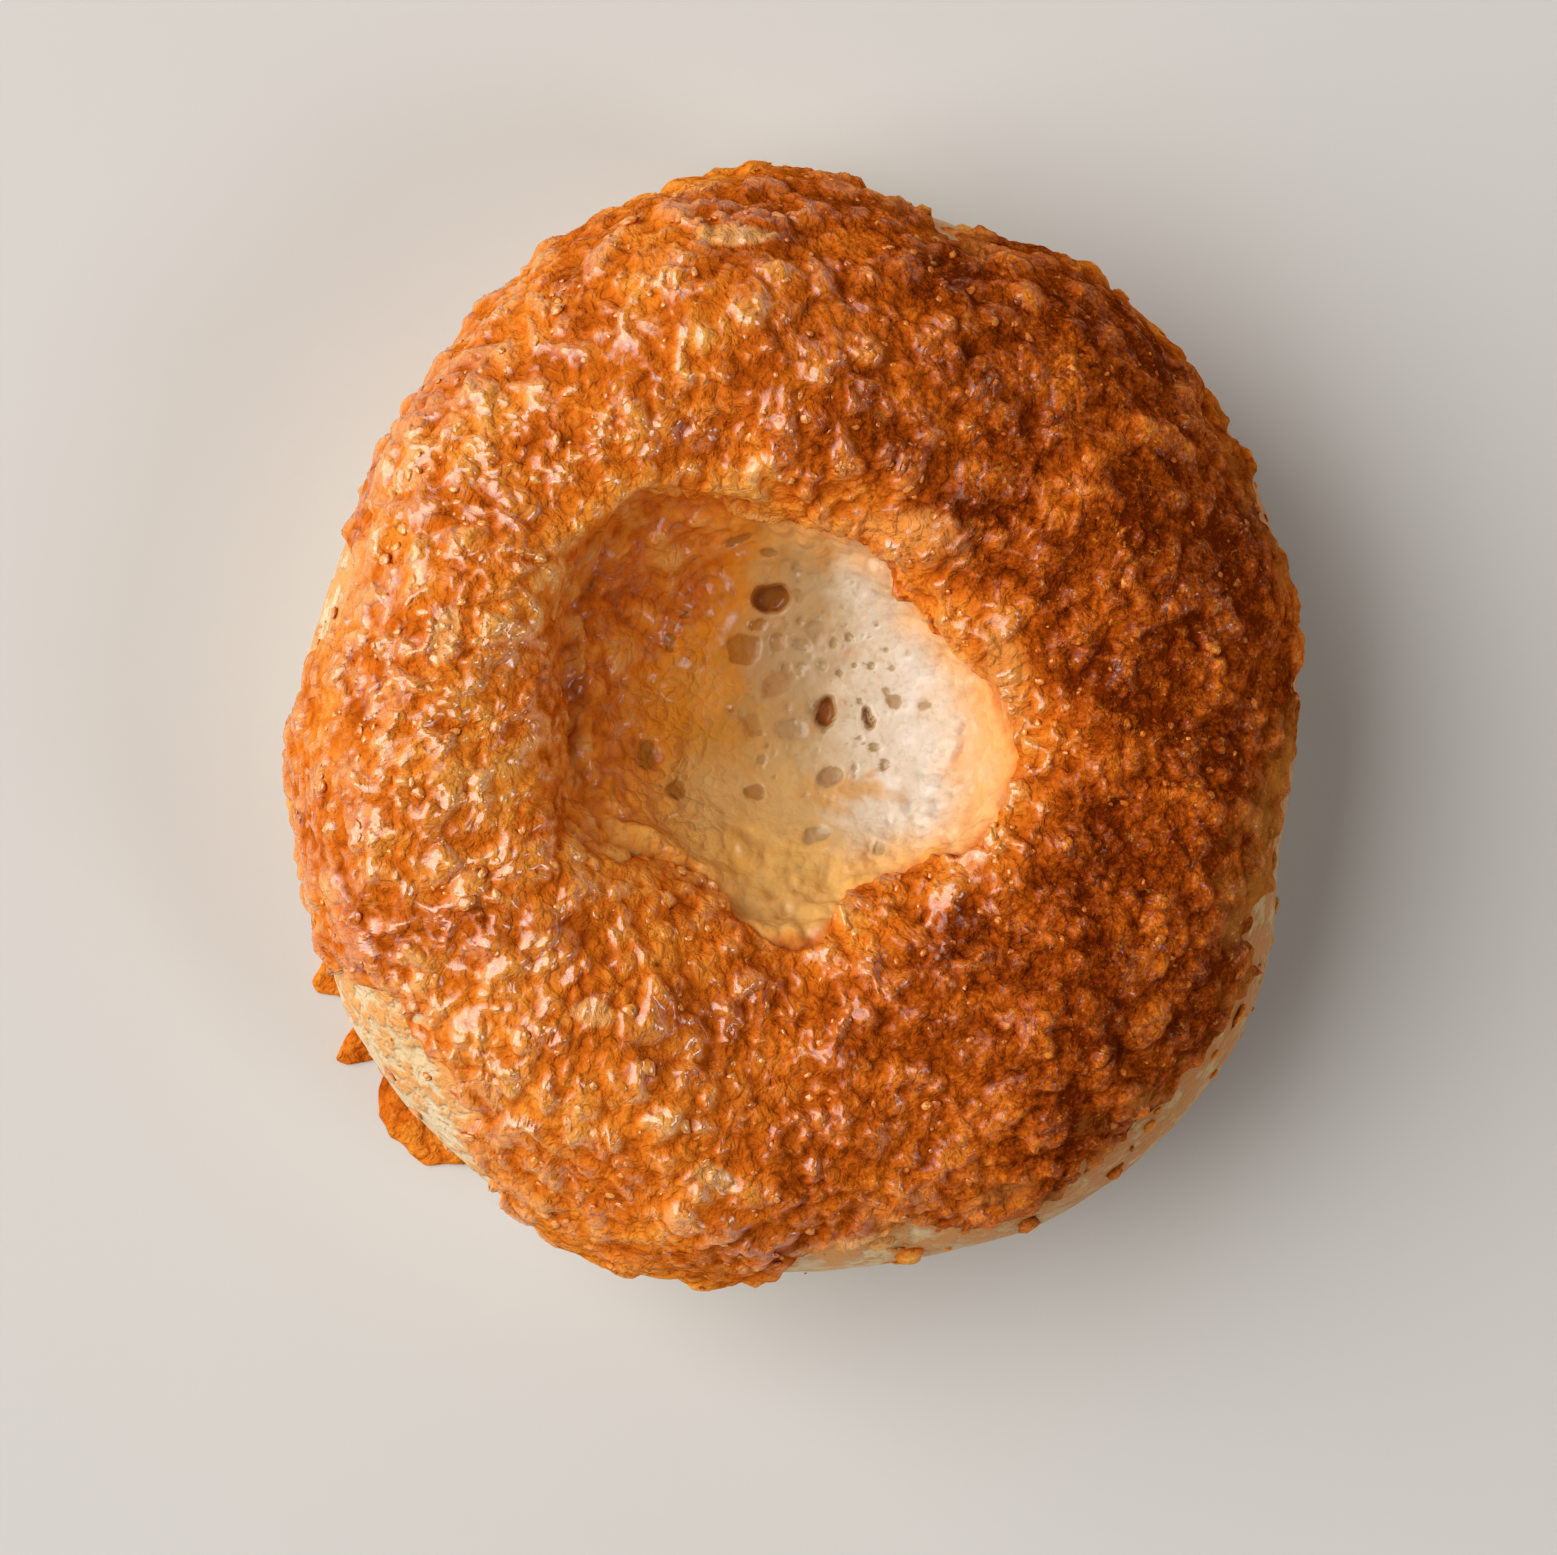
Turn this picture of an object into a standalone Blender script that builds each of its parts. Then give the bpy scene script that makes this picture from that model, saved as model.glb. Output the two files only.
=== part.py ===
"""An asiago bagel, whole and uncut, standing on its flat base.

The frame is in metres, +Z up. The origin is under the middle of the bagel's box, on the surface it stands on.
The bagel is one solid: a plump ring of dough whose hole has closed to a deep dimple, the shredded cheese that
melted over it, and the lace of cheese that ran off one side and fried flat on the baking tray.
"""

import math

import bmesh
import bpy
from mathutils import Matrix, Vector

# Dough. Its profile has five quarters, each a quarter of an oval: the flat base, the lower flank out to the
# widest point, the upper flank up to the crest, the lip over into the dimple, and the hollow to its middle.
# A station is a place along the profile, from 0 in the middle of the base to 5 in the middle of the hollow.
BASE_RADIUS = 0.0450
WIDEST_RADIUS, WIDEST_HEIGHT = 0.0560, 0.0195
CREST_RADIUS, CREST_HEIGHT = 0.0365, 0.0416
LIP_RADIUS, LIP_HEIGHT = 0.0224, 0.0350
FLOOR_HEIGHT = 0.0260
HOLLOW_SQUARENESS = 1.9
# Where the dimple's lip and its floor are centred, from the ring's centre.
LIP_SHIFT, FLOOR_SHIFT = Vector((-0.0034, 0.0031)), Vector((0.0008, 0.0037))
ROWS_IN_QUARTERS = (3, 8, 12, 8, 9)
AROUND = 96

# Each wave is (waves per turn, share of the radius, degrees where it peaks).
OUTLINE_WAVES = ((2, 0.048, 84), (3, 0.015, -27), (4, 0.010, 34), (5, 0.011, 34), (7, 0.005, -12))
LIP_WAVES = ((2, 0.08, -33), (3, 0.04, -5), (5, 0.03, -11))
# Each wave is (waves per turn, metres, degrees where it peaks).
CREST_WAVES = ((1, 0.0008, 150), (3, 0.0009, 80), (5, 0.0005, 20))
# Each swell is (waves per turn, waves along the profile, metres, phase in radians).
SWELLS = ((7, 0.9, 0.00035, 0.4), (9, -1.3, 0.00030, 2.1), (5, 2.2, 0.00040, 4.0), (12, 1.9, 0.00020, 1.2))

# Melted cheese. Each pair is (degrees round the bagel, station of the cheese's lower edge).
CHEESE_THICKNESS = 0.0014
CHEESE_EDGE_WIDTH = 0.10
LOWER_EDGE = (
    (0, 2.42),
    (22, 2.20),
    (45, 2.05),
    (60, 2.30),
    (80, 1.80),
    (120, 1.75),
    (150, 1.95),
    (172, 2.10),
    (192, 1.80),
    (205, 2.30),
    (222, 2.55),
    (240, 2.30),
    (252, 1.90),
    (270, 2.42),
    (290, 2.48),
    (320, 2.45),
    (345, 2.36),
)
INNER_EDGE = 3.75
INNER_EDGE_WAVES = ((1, 0.12, 190), (3, 0.08, 60))

# Lace of fried cheese at the base's lower left: a skirt from inside the dough to its lobed outer edge.
LACE_START, LACE_END = 201, 237
LACE_INNER_RADIUS, LACE_OUTER_RADIUS = 0.0400, 0.0605
LACE_LOBES = ((9, 0.0013, 226), (31, 0.0012, 209), (53, 0.0007, 228))
LACE_UNDERSIDE, LACE_THICKNESS = 0.0003, 0.0026
LACE_COLUMNS, LACE_ROWS = 26, 8


def waves(theta, table):
    """Sum of cosines round the bagel, each with its own count, size and peak."""
    return sum(size * math.cos(count * (theta - math.radians(peak))) for count, size, peak in table)


def smooth(x):
    """Quintic step from 0 to 1."""
    x = min(max(x, 0.0), 1.0)
    return x**3 * (x * (6 * x - 15) + 10)


def lower_edge(theta):
    """Station of the cheese's lower edge, eased from each pair of LOWER_EDGE to the next."""
    angle = math.degrees(theta) % 360
    ends = (*LOWER_EDGE, (360 + LOWER_EDGE[0][0], LOWER_EDGE[0][1]))
    for (start, before), (end, after) in zip(ends, ends[1:]):
        if start <= angle <= end:
            return before + (after - before) * smooth((angle - start) / (end - start))


def cheese_cover(theta, station):
    """Share of the full cheese thickness: 1 between the lower and inner edges, easing to 0 past them."""
    low = smooth((station - lower_edge(theta)) / CHEESE_EDGE_WIDTH + 0.5)
    inner = INNER_EDGE + waves(theta, INNER_EDGE_WAVES)
    return low * smooth((inner - station) / CHEESE_EDGE_WIDTH + 0.5)


def dough_point(theta, station):
    """A point of the dough's skin, on the quarter oval that the station falls in."""
    outline = 1 + waves(theta, OUTLINE_WAVES)
    base, widest = BASE_RADIUS * outline, WIDEST_RADIUS * outline
    crest, top = CREST_RADIUS * (1 + outline) / 2, CREST_HEIGHT + waves(theta, CREST_WAVES)
    lip = LIP_RADIUS * (1 + waves(theta, LIP_WAVES))
    quarter = min(int(station), 4)
    turn = (station - quarter) * math.pi / 2
    rising, falling = math.sin(turn), max(math.cos(turn), 0.0)
    if quarter == 0:
        radius, height = base * station, 0.0
    elif quarter == 1:
        radius, height = base + (widest - base) * rising, WIDEST_HEIGHT * (1 - falling)
    elif quarter == 2:
        radius, height = crest + (widest - crest) * falling, WIDEST_HEIGHT + (top - WIDEST_HEIGHT) * rising
    elif quarter == 3:
        radius, height = crest + (lip - crest) * rising, LIP_HEIGHT + (top - LIP_HEIGHT) * falling
    else:
        radius = lip * falling ** (2 / HOLLOW_SQUARENESS)
        height = LIP_HEIGHT + (FLOOR_HEIGHT - LIP_HEIGHT) * rising ** (2 / HOLLOW_SQUARENESS)
    shift = LIP_SHIFT.lerp(FLOOR_SHIFT, smooth(station - 4)) * smooth(station - 3)
    return Vector((radius * math.cos(theta) + shift.x, radius * math.sin(theta) + shift.y, height))


def swell(theta, station):
    """Low uneven rise and fall of the baked skin, which dies away at the flat base and in the hollow."""
    rise = sum(size * math.sin(count * theta + rows * station * math.pi + phase) for count, rows, size, phase in SWELLS)
    return rise * smooth((station - 1) / 0.5) * smooth((4.2 - station) / 0.6)


def bagel_point(theta, station):
    """The dough's skin, pushed out along its normal by the swell and by the cheese."""
    step = 1e-3
    here = dough_point(theta, station)
    rise = swell(theta, station) + CHEESE_THICKNESS * cheese_cover(theta, station)
    if not rise:
        return here
    along = dough_point(theta, station + step) - here
    around = dough_point(theta + step, station) - here
    return here + around.cross(along).normalized() * rise


def stations():
    """The profile's rows between its two poles, evenly spaced within each quarter."""
    rows = [quarter + step / count for quarter, count in enumerate(ROWS_IN_QUARTERS) for step in range(count)]
    return rows[1:]


def material(name, color, roughness):
    """A Principled material of one colour."""
    made = bpy.data.materials.new(name)
    made.use_nodes = True
    shader = made.node_tree.nodes["Principled BSDF"]
    shader.inputs["Base Color"].default_value = (*color, 1)
    shader.inputs["Roughness"].default_value = roughness
    return made


def object_from(name, bm, surface):
    """Puts a bmesh into the scene as an object with one material, shaded smooth."""
    bmesh.ops.recalc_face_normals(bm, faces=bm.faces)
    mesh = bpy.data.meshes.new(name)
    bm.to_mesh(mesh)
    bm.free()
    mesh.materials.append(surface)
    mesh.shade_smooth()
    made = bpy.data.objects.new(name, mesh)
    bpy.context.scene.collection.objects.link(made)
    return made


def bagel_mesh():
    """Rings of points at each station, joined to their neighbours and closed by a fan at each pole."""
    bm = bmesh.new()
    angles = [2 * math.pi * turn / AROUND for turn in range(AROUND)]
    rings = [[bm.verts.new(bagel_point(theta, station)) for theta in angles] for station in stations()]
    poles = (bm.verts.new(bagel_point(0, 0)), bm.verts.new(bagel_point(0, 5)))
    for turn in range(AROUND):
        after = (turn + 1) % AROUND
        for inner, outer in zip(rings, rings[1:]):
            bm.faces.new((inner[turn], inner[after], outer[after], outer[turn]))
        bm.faces.new((poles[0], rings[0][after], rings[0][turn]))
        bm.faces.new((poles[1], rings[-1][turn], rings[-1][after]))
    return bm


def lace_point(column, row):
    """A point of the lace's top, which falls in a quarter oval to its lobed outer edge."""
    share = column / LACE_COLUMNS
    theta = math.radians(LACE_START + (LACE_END - LACE_START) * share)
    reach = LACE_OUTER_RADIUS + waves(theta, LACE_LOBES) - LACE_INNER_RADIUS
    out = row / LACE_ROWS
    radius = LACE_INNER_RADIUS + reach * math.sin(math.pi * (0.04 + 0.92 * share)) ** 0.35 * out
    height = LACE_UNDERSIDE + LACE_THICKNESS * max(1 - out**2, 0.04) ** 0.5
    return Vector((radius * math.cos(theta), radius * math.sin(theta), height))


def lace_mesh():
    """The lace's top, with the same shape laid flat under it and a wall round both."""
    bm = bmesh.new()
    columns, rows = range(LACE_COLUMNS + 1), range(LACE_ROWS + 1)
    top = [[bm.verts.new(lace_point(column, row)) for row in rows] for column in columns]
    faces = []
    for near, far in zip(top, top[1:]):
        for row in range(LACE_ROWS):
            faces.append(bm.faces.new((near[row], near[row + 1], far[row + 1], far[row])))
    under = bmesh.ops.extrude_face_region(bm, geom=faces, use_keep_orig=True)
    for item in under["geom"]:
        if isinstance(item, bmesh.types.BMVert):
            item.co.z = LACE_UNDERSIDE
    return bm


def centre_on_origin(pieces):
    """Moves the meshes together so that the box round them is centred over the origin."""
    points = [corner.co for piece in pieces for corner in piece.data.vertices]
    middle = [(min(p[axis] for p in points) + max(p[axis] for p in points)) / 2 for axis in (0, 1)]
    for piece in pieces:
        piece.data.transform(Matrix.Translation((-middle[0], -middle[1], 0)))


def main():
    for old in list(bpy.data.objects):
        bpy.data.objects.remove(old)
    crust = material("baked_cheese", (0.52, 0.14, 0.022), 0.4)
    bagel = object_from("bagel", bagel_mesh(), crust)
    lace = object_from("lace_of_cheese", lace_mesh(), crust)
    centre_on_origin((bagel, lace))
    lace.hide_render = True
    lace.display_type = "WIRE"
    union = bagel.modifiers.new("lace", "BOOLEAN")
    union.operation = "UNION"
    union.object = lace


main()
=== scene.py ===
"""An asiago bagel: a boiled and baked ring of dough under a coat of melted and browned shredded cheese."""

import bpy
import numpy as np
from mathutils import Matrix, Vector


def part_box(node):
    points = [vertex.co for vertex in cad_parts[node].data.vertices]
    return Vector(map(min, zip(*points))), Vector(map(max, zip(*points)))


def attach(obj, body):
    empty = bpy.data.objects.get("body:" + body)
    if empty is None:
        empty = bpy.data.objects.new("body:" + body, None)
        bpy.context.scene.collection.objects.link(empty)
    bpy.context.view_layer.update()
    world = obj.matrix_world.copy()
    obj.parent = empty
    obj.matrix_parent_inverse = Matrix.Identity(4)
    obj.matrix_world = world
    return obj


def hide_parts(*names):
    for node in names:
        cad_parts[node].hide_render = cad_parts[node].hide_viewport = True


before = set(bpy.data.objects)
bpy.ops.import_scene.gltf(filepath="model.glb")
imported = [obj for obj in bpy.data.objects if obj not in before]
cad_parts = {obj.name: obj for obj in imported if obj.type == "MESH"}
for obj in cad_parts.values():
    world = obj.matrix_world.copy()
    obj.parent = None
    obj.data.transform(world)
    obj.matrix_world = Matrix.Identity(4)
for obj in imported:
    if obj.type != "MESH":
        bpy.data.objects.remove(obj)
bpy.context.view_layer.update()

LOW, HIGH = (np.array(corner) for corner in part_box("bagel"))
# Sizes are in millimetres of a bagel of this length and height. The factor mm scales lengths, and the factor
# tall scales heights.
MODELLED_LENGTH, MODELLED_HEIGHT = 119.17, 45.27
mm = (HIGH[1] - LOW[1]) / MODELLED_LENGTH
tall = (HIGH[2] - LOW[2]) / MODELLED_HEIGHT
# The middle of the ring lies a little off the middle of the bagel's box.
RING_CENTRE = np.array(((LOW[0] + HIGH[0]) / 2 + 1.27 * mm, (LOW[1] + HIGH[1]) / 2 - 1.70 * mm, LOW[2]))

# The profile has five quarters: the flat base, the lower flank, the upper flank, the lip of the dimple and
# its hollow. A station is a place along it, from 0 in the base's middle to 5 in the hollow's middle.
BASE_RADIUS = 45.0 * mm
WIDEST_RADIUS, WIDEST_HEIGHT = 56.0 * mm, 19.5 * tall
CREST_RADIUS, CREST_HEIGHT = 36.5 * mm, 41.6 * tall
LIP_RADIUS, LIP_HEIGHT = 22.4 * mm, 35.0 * tall
FLOOR_HEIGHT = 26.0 * tall
HOLLOW_SQUARENESS = 1.9
# Where the dimple's lip and its floor are centred, from the ring's centre.
LIP_SHIFT, FLOOR_SHIFT = np.array((-3.4, 3.1)) * mm, np.array((0.8, 3.7)) * mm
# Each wave is (waves per turn, share of the radius, degrees where it peaks).
OUTLINE_WAVES = ((2, 0.048, 84), (3, 0.015, -27), (4, 0.010, 34), (5, 0.011, 34), (7, 0.005, -12))
LIP_WAVES = ((2, 0.08, -33), (3, 0.04, -5), (5, 0.03, -11))
CREST_WAVES = ((1, 0.8, 150), (3, 0.9, 80), (5, 0.5, 20))
# Each swell is (waves per turn, waves along the profile, millimetres, phase in radians).
SWELLS = ((7, 0.9, 0.35, 0.4), (9, -1.3, 0.30, 2.1), (5, 2.2, 0.40, 4.0), (12, 1.9, 0.20, 1.2))


def waves(theta, table):
    """Sum of cosines round the bagel, each with its own count, size and peak."""
    return sum(size * np.cos(count * (theta - np.radians(peak))) for count, size, peak in table)


def smooth(x):
    """Quintic step from 0 to 1."""
    x = np.clip(x, 0, 1)
    return x**3 * (x * (6 * x - 15) + 10)


def dough_skin(theta, station):
    """Points of the dough: on each quarter the radius and the height follow a quarter of an oval."""
    outline = 1 + waves(theta, OUTLINE_WAVES)
    base, widest = BASE_RADIUS * outline, WIDEST_RADIUS * outline
    crest, top = CREST_RADIUS * (1 + outline) / 2, CREST_HEIGHT + waves(theta, CREST_WAVES) * tall
    lip = LIP_RADIUS * (1 + waves(theta, LIP_WAVES))
    quarter = np.clip(np.floor(station), 0, 4)
    turn = (station - quarter) * np.pi / 2
    rising, falling = np.sin(turn), np.maximum(np.cos(turn), 0)
    squeeze = 2 / HOLLOW_SQUARENESS
    first_four = [quarter == number for number in range(4)]
    radii = [
        base * station,
        base + (widest - base) * rising,
        crest + (widest - crest) * falling,
        crest + (lip - crest) * rising,
    ]
    heights = [
        0 * station,
        WIDEST_HEIGHT * (1 - falling),
        WIDEST_HEIGHT + (top - WIDEST_HEIGHT) * rising,
        LIP_HEIGHT + (top - LIP_HEIGHT) * falling,
    ]
    radius = np.select(first_four, radii, lip * falling**squeeze)
    hollow_height = LIP_HEIGHT + (FLOOR_HEIGHT - LIP_HEIGHT) * np.abs(rising) ** squeeze
    height = np.select(first_four, heights, hollow_height)
    on_lip, on_floor = smooth(station - 3)[..., None], smooth(station - 4)[..., None]
    shift = LIP_SHIFT * on_lip + (FLOOR_SHIFT - LIP_SHIFT) * on_floor
    swell = 0
    for count, rows, size, phase in SWELLS:
        swell = swell + size * np.sin(count * theta + rows * station * np.pi + phase)
    swell = swell * mm * smooth((station - 1) / 0.5) * smooth((4.2 - station) / 0.6)
    radius = radius + swell * np.where(station < 3, np.cos((station - 2) * np.pi / 2), 0)
    height = height + swell * np.where(station > 2, np.cos((station - 3) * np.pi / 2), 0)
    across = radius * np.cos(theta) + shift[..., 0]
    along = radius * np.sin(theta) + shift[..., 1]
    return np.stack((across, along, height), -1) + RING_CENTRE


def outward(theta, station):
    """The dough's unit normals, from its slopes round the bagel and along the profile."""
    step = 1e-4
    around = dough_skin(theta + step, station) - dough_skin(theta - step, station)
    along = dough_skin(theta, station + step) - dough_skin(theta, station - step)
    normal = np.cross(around, along)
    return normal / np.maximum(np.linalg.norm(normal, axis=-1, keepdims=True), 1e-12)


PROFILE_STATIONS = np.linspace(0.02, 4.98, 1200)
PROFILE_POINTS = dough_skin(0 * PROFILE_STATIONS + 0.8, PROFILE_STATIONS)
PROFILE_STEPS = np.linalg.norm(np.diff(PROFILE_POINTS, axis=0), axis=-1)
PROFILE_LENGTHS = np.concatenate(((0,), np.cumsum(PROFILE_STEPS)))


def along_profile(start, end, shares):
    """Stations a given share of the way from start to end, measured along the profile's length."""
    first, last = (np.interp(station, PROFILE_STATIONS, PROFILE_LENGTHS) for station in (start, end))
    return np.interp(first + (last - first) * shares, PROFILE_LENGTHS, PROFILE_STATIONS)


def lattice(cell, seed):
    """A number from 0 to 1 for each whole-numbered cell, mixed from its three indices and a seed."""
    index = cell.astype(np.int64).astype(np.uint32)
    mixed = index[..., 0] * np.uint32(374761393) + index[..., 1] * np.uint32(668265263)
    mixed = mixed + index[..., 2] * np.uint32(2246822519) + np.uint32(seed * 3266489 + 97)
    for shift in (15, 13):
        mixed = (mixed ^ (mixed >> np.uint32(shift))) * np.uint32(2654435761)
    return (mixed ^ (mixed >> np.uint32(16))).astype(float) / 2**32


def ripple(points, size, seed):
    """Gradient noise from about -1 to 1: random slopes at the corners of cells of this size, blended."""
    scaled = points / size
    cell = np.floor(scaled)
    inside = scaled - cell
    blend = smooth(inside)
    total = 0
    for corner in np.ndindex(2, 2, 2):
        corner = np.array(corner)
        slope = np.stack([lattice(cell + corner, seed * 3 + axis) for axis in range(3)], -1) * 2 - 1
        weight = np.prod(np.where(corner, blend, 1 - blend), axis=-1)
        total = total + weight * np.sum(slope * (inside - corner), axis=-1)
    return total * 1.6


def ripples(points, *layers):
    """Sum of ripples. Each layer is (height, size in millimetres, seed)."""
    return sum(height * ripple(points, size * mm, seed) for height, size, seed in layers)


def mesh_piece(name, points, quads, caps=(), normals=None, **marks):
    """An object from an array of points, its four-sided faces, the faces of its caps, unit normals if they
    are to be set, and named numbers per point."""
    mesh = bpy.data.meshes.new(name)
    faces = quads.reshape(-1, 4).tolist() + [face for cap in caps for face in cap.tolist()]
    mesh.from_pydata(points.reshape(-1, 3).tolist(), [], faces)
    for mark, values in marks.items():
        numbers = mesh.attributes.new(mark, "FLOAT", "POINT").data
        numbers.foreach_set("value", values.ravel().astype(np.float32))
    mesh.shade_smooth()
    if normals is not None:
        mesh.normals_split_custom_set_from_vertices(normals.reshape(-1, 3).tolist())
    piece = bpy.data.objects.new(name, mesh)
    bpy.context.scene.collection.objects.link(piece)
    return piece


def strips(rows, columns):
    """Corner numbers of the faces between rows of points, where each row closes on itself."""
    here = np.arange(rows - 1)[:, None] * columns
    above = here + columns
    column = np.arange(columns)[None]
    after = (column + 1) % columns
    return np.stack((here + column, here + after, above + after, above + column), -1)


class Socket:
    """An output in a material's nodes. Arithmetic on it adds Math nodes, and node() adds any other kind."""

    def __init__(self, tree, output=None):
        self.tree, self.output = tree, output

    def node(self, kind, settings=None, inputs=None, output=0):
        """Adds a node, makes its settings, then sets or links its sockets."""
        made = self.tree.nodes.new("ShaderNode" + kind)
        for name, value in (settings or {}).items():
            if name == "stops":
                for _ in value[2:]:
                    made.color_ramp.elements.new(0.5)
                for element, (place, colour) in zip(made.color_ramp.elements, value):
                    element.position, element.color = place, (*colour, 1)
            else:
                setattr(made, name, value)
        for name, value in (inputs or {}).items():
            if isinstance(value, Socket):
                self.tree.links.new(value.output, made.inputs[name])
            else:
                made.inputs[name].default_value = value
        return Socket(self.tree, made.outputs[output])

    def math(self, operation, *values):
        """The result of a Math node on these values."""
        return self.node("Math", {"operation": operation}, dict(enumerate(values)))

    def __add__(self, other):
        return self.math("ADD", self, other)

    def __sub__(self, other):
        return self.math("SUBTRACT", self, other)

    def __rsub__(self, other):
        return self.math("SUBTRACT", other, self)

    def __mul__(self, other):
        return self.math("MULTIPLY", self, other)

    def __pow__(self, other):
        return self.math("POWER", self, other)

    __radd__, __rmul__ = __add__, __mul__

    def step(self, low, high):
        """Smooth step from 0 at low to 1 at high."""
        settings = {"interpolation_type": "SMOOTHSTEP"}
        return self.node("MapRange", settings, {"Value": self, "From Min": low, "From Max": high})

    def ramp(self, *stops):
        """Colour from a ramp of (place, colour) stops."""
        return self.node("ValToRGB", {"stops": stops}, {"Fac": self})

    def mix(self, first, second):
        """Colour that goes from first to second as this value goes from 0 to 1."""
        # A Mix node's factor is its socket 0, its colours are sockets 6 and 7, and the result is output 2.
        colours = (colour if isinstance(colour, Socket) else (*colour, 1) for colour in (first, second))
        return self.node("Mix", {"data_type": "RGBA"}, dict(zip((0, 6, 7), (self, *colours))), 2)

    def place(self):
        """Object coordinates, in metres."""
        return self.node("TexCoord", output="Object")

    def axes(self, names):
        """The object coordinates along the axes of these names."""
        return (self.node("SeparateXYZ", None, {"Vector": self.place()}, name) for name in names)

    def warped(self, size, reach, stretch=(1, 1, 1)):
        """Object coordinates pushed about by noise of the given size, up to the given reach, both in metres,
        and then stretched along the axes."""
        waver = {"Vector": self.place(), "Scale": 1 / size, "Detail": 1.0}
        push = self.node("TexNoise", None, waver, "Color")
        inputs = {0: push, 1: (2 * reach,) * 3, 2: self.place()}
        pushed = self.node("VectorMath", {"operation": "MULTIPLY_ADD"}, inputs)
        return self.node("Mapping", None, {"Vector": pushed, "Scale": stretch})

    def noise(self, size, detail=2.0, rough=0.5, place=None):
        """Noise from 0 to 1 with features of about the given size in metres."""
        inputs = {"Vector": place or self.place(), "Scale": 1 / size, "Detail": detail, "Roughness": rough}
        return self.node("TexNoise", None, inputs)

    def cells(self, size, place=None):
        """Squared distance, in cells of this size, to the nearest of scattered points: 0 at each point."""
        inputs = {"Vector": place or self.place(), "Scale": 1 / size}
        distance = self.node("TexVoronoi", {"feature": "F1"}, inputs, "Distance")
        return distance * distance

    def mark(self, name):
        """The piece's own numbers of that name."""
        return self.node("Attribute", {"attribute_name": name}, output="Fac")

    def bump(self, height):
        """Normal of a surface raised by this height in millimetres."""
        return self.node("Bump", None, {"Height": height, "Distance": mm, "Strength": 1.0})


def paint(name, recipe, **fixed):
    """A Principled material: recipe(nodes) gives the linked sockets, and fixed sets the plain ones."""
    material = bpy.data.materials.new(name)
    material.use_nodes = True
    shader = material.node_tree.nodes["Principled BSDF"]
    for socket, value in fixed.items():
        shader.inputs[socket.replace("_", " ")].default_value = value
    for socket, value in recipe(Socket(material.node_tree)).items():
        material.node_tree.links.new(value.output, shader.inputs[socket])
    return material


# Each pair is (degrees round the bagel, station of the cheese's lower edge).
LOWER_EDGE = (
    (0, 2.30), (15, 2.15), (28, 2.25), (36, 2.10), (45, 1.85), (60, 1.95), (67, 2.20),
    (75, 2.36), (83, 2.20), (97, 1.85), (115, 1.90), (122, 2.12), (130, 1.80), (144, 1.80),
    (151, 2.18), (165, 2.34), (176, 2.22), (184, 1.85), (202, 1.85), (207, 2.35), (213, 2.50),
    (222, 2.56), (229, 2.48), (236, 2.20), (245, 1.88), (262, 1.92), (268, 2.28), (276, 2.44),
    (300, 2.40), (320, 2.42), (345, 2.36),
)


def lower_edge(theta):
    """Station of the cheese's lower edge, straight from each pair of LOWER_EDGE to the next."""
    degrees, stations = zip(*LOWER_EDGE)
    return np.interp(np.degrees(theta), degrees, stations, period=360)


def raggedness(points):
    """How far, in stations, the cheese's edge wanders at these points: noise of three sizes."""
    return ripples(points, (0.15, 8, 31), (0.09, 3.5, 32), (0.04, 1.4, 33))


DOUGH_COLUMNS, DOUGH_ROWS = 420, 130
DOUGH_FIRST, DOUGH_LAST = 0.03, 4.97
# In the hollow the dough lies this far under the skin that the web and the cheese follow.
DOUGH_SINK = 7.0 * mm
theta = np.linspace(0, 2 * np.pi, DOUGH_COLUMNS, endpoint=False)[None]
station = along_profile(DOUGH_FIRST, DOUGH_LAST, np.linspace(0, 1, DOUGH_ROWS))[:, None]
theta, station = np.broadcast_arrays(theta, station)
skin = dough_skin(theta, station)
uneven = ripples(skin, (0.30, 9, 3), (0.12, 3, 4), (0.05, 1.2, 5))
sink = DOUGH_SINK * smooth((station - 3.1) / 0.9)
below = lower_edge(theta) - station - raggedness(skin)
skin = skin + outward(theta, station) * (uneven * mm * smooth((station - 0.9) / 0.3) - sink)[..., None]
# A fan of triangles closes each end of the grid over one more point.
poles = np.stack((skin[0].mean(0), skin[-1].mean(0)))
count = DOUGH_ROWS * DOUGH_COLUMNS
ring, after = np.arange(DOUGH_COLUMNS), (np.arange(DOUGH_COLUMNS) + 1) % DOUGH_COLUMNS
fans = [
    np.stack((0 * ring + count, after, ring), -1),
    np.stack((0 * ring + count + 1, count - DOUGH_COLUMNS + ring, count - DOUGH_COLUMNS + after), -1),
]
dough = mesh_piece(
    "dough",
    np.concatenate((skin.reshape(-1, 3), poles)),
    strips(DOUGH_ROWS, DOUGH_COLUMNS),
    fans,
    below=np.concatenate((below.ravel(), (2, 0))),
)


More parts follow.
